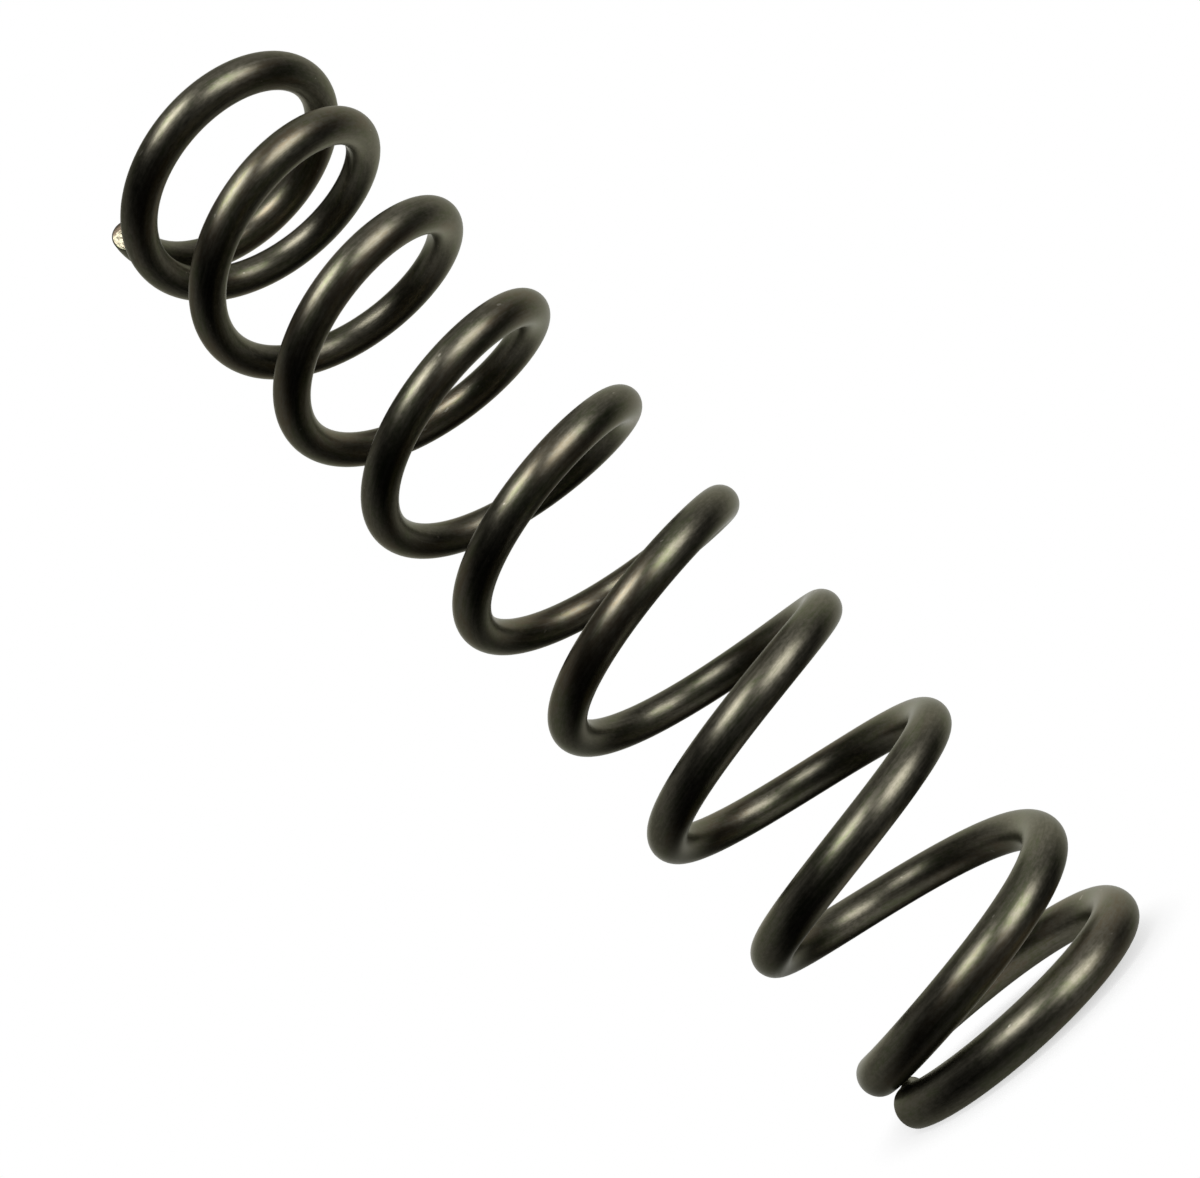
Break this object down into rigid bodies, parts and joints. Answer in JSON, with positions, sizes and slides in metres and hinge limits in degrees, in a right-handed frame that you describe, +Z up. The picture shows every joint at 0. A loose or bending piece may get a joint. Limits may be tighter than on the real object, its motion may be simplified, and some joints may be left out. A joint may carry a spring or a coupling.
{
  "type": "helical compression spring",
  "caption": "Right-hand helical compression spring of round steel wire, with closed unground ends and sheared wire tips, for a push load along its axis.",
  "frame": {"origin": "on the coil's axis, level with the lowest point of the wire at the end that the spring stands on", "axes": "+Z up along the coil's axis; +X from the axis towards the lower cut end of the wire; the coil climbs anticlockwise seen from above, so it is right-handed"},
  "size_m": [0.0234, 0.0234, 0.097],
  "materials": {
    "spring_wire": "satin"
  },
  "bodies": {
    "root": {"compression_spring": "spring_wire"}
  },
  "joints": []
}
